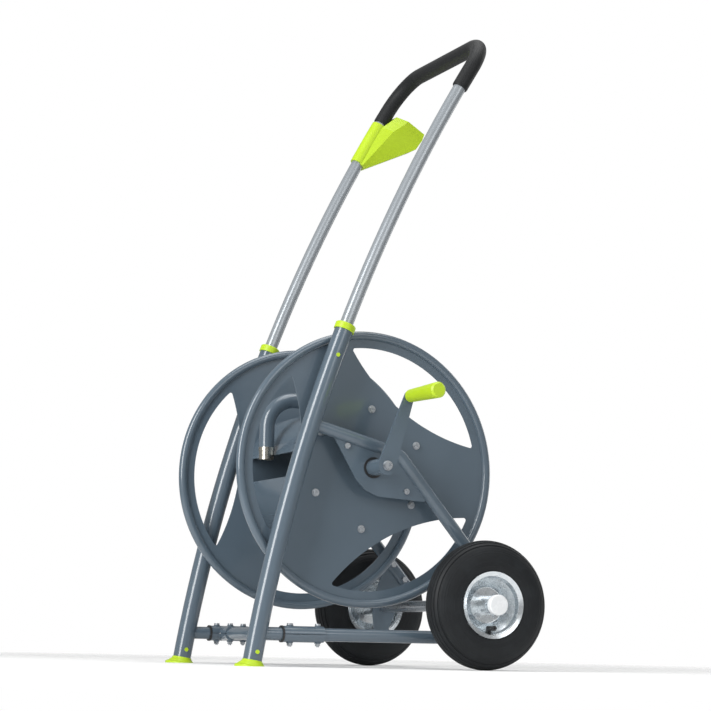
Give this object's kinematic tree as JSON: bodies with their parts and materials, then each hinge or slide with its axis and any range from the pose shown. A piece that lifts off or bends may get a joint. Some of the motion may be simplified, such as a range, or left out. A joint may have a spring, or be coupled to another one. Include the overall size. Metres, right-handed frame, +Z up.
{
  "type": "garden hose reel cart",
  "caption": "Two-wheeled steel hose reel cart: cranked drum between leaning tube legs, U push handle, nozzle holster, pneumatic wheels.",
  "frame": {"origin": "on the floor, at the middle of the whole cart's bounding box", "axes": "+Z up; +X from the legs towards the wheels, the way the handle leans; -Y is the crank side and +Y the water inlet side"},
  "size_m": [0.5364, 0.641, 1.1327],
  "materials": {
    "powder_coat_grey": "semi-gloss powder coat",
    "handle_silver_grey": "satin silver-grey powder coat",
    "lime_plastic": "moulded polypropylene, satin",
    "grip_foam": "closed-cell foam",
    "black_rubber": "matt rubber",
    "tyre_rubber": "matt carbon-black rubber",
    "galvanised_steel": "zinc-plated pressed steel",
    "zinc_fastener": "bright zinc-plated",
    "bearing_steel": "ground steel",
    "plated_brass": "nickel-plated brass",
    "black_nylon": "moulded nylon",
    "cap_white": "moulded white plastic"
  },
  "bodies": {
    "cart_frame": {"axle_clips_and_spacers": "zinc_fastener", "bearing_plate_bolts": "zinc_fastener", "clamp_bolts": "zinc_fastener", "clamp_rings": "black_rubber", "far_axle_gusset": "powder_coat_grey", "far_bearing_housing": "black_nylon", "far_bearing_plate": "powder_coat_grey", "far_clamp_lower": "powder_coat_grey", "far_clamp_upper": "powder_coat_grey", "far_foot_plug": "lime_plastic", "far_leg_collar": "lime_plastic", "far_leg_tube": "powder_coat_grey", "far_side_rail": "powder_coat_grey", "far_strut_tube": "powder_coat_grey", "front_cross_tube": "powder_coat_grey", "near_axle_gusset": "powder_coat_grey", "near_bearing_housing": "black_nylon", "near_bearing_plate": "powder_coat_grey", "near_clamp_lower": "powder_coat_grey", "near_clamp_upper": "powder_coat_grey", "near_foot_plug": "lime_plastic", "near_leg_collar": "lime_plastic", "near_leg_tube": "powder_coat_grey", "near_side_rail": "powder_coat_grey", "near_strut_tube": "powder_coat_grey", "strut_foot_bolts": "zinc_fastener", "wheel_axle": "zinc_fastener"},
    "handle": {"handle_grip": "grip_foam", "handle_tube": "handle_silver_grey", "nozzle_holster": "lime_plastic"},
    "drum": {"core_shell_a": "powder_coat_grey", "core_shell_b": "powder_coat_grey", "core_shell_c": "powder_coat_grey", "crank_arm": "powder_coat_grey", "crank_screw": "zinc_fastener", "crank_spacer": "powder_coat_grey", "drum_screws": "zinc_fastener", "drum_shaft": "powder_coat_grey", "far_drum_disc": "powder_coat_grey", "feed_pipe": "powder_coat_grey", "knob_pin": "zinc_fastener", "near_drum_disc": "powder_coat_grey", "outlet_nipple": "plated_brass", "swivel_seals": "black_rubber"},
    "crank_grip": {"crank_knob": "lime_plastic"},
    "inlet": {"inlet_swivel": "plated_brass"},
    "near_wheel": {"near_hub_bearings": "bearing_steel", "near_hub_cap": "cap_white", "near_inner_tube": "black_rubber", "near_rim_bolts": "zinc_fastener", "near_rim_inner": "galvanised_steel", "near_rim_outer": "galvanised_steel", "near_tyre": "tyre_rubber"},
    "far_wheel": {"far_hub_bearings": "bearing_steel", "far_hub_cap": "cap_white", "far_inner_tube": "black_rubber", "far_rim_bolts": "zinc_fastener", "far_rim_inner": "galvanised_steel", "far_rim_outer": "galvanised_steel", "far_tyre": "tyre_rubber"}
  },
  "joints": [
    {"name": "drum_spin", "type": "hinge", "parent": "cart_frame", "child": "drum", "pos_m": [-0.02678, 0.0275, 0.339], "axis": [0, 1, 0], "continuous": true},
    {"name": "crank_knob_spin", "type": "hinge", "parent": "drum", "child": "crank_grip", "pos_m": [0.01272, -0.2075, 0.4595], "axis": [0, 1, 0], "continuous": true},
    {"name": "inlet_swivel_turn", "type": "hinge", "parent": "cart_frame", "child": "inlet", "pos_m": [-0.02678, 0.2375, 0.339], "axis": [0, 1, 0], "continuous": true},
    {"name": "near_wheel_spin", "type": "hinge", "parent": "cart_frame", "child": "near_wheel", "pos_m": [0.15822, -0.2155, 0.11], "axis": [0, 1, 0], "continuous": true},
    {"name": "far_wheel_spin", "type": "hinge", "parent": "cart_frame", "child": "far_wheel", "pos_m": [0.15822, 0.2705, 0.11], "axis": [0, 1, 0], "continuous": true},
    {"name": "handle_slide", "type": "hinge", "parent": "cart_frame", "child": "handle", "pos_m": [2.76927, 0.0275, -0.49814], "axis": [0, 1, 0], "range_deg": [-5.64, 0]}
  ]
}
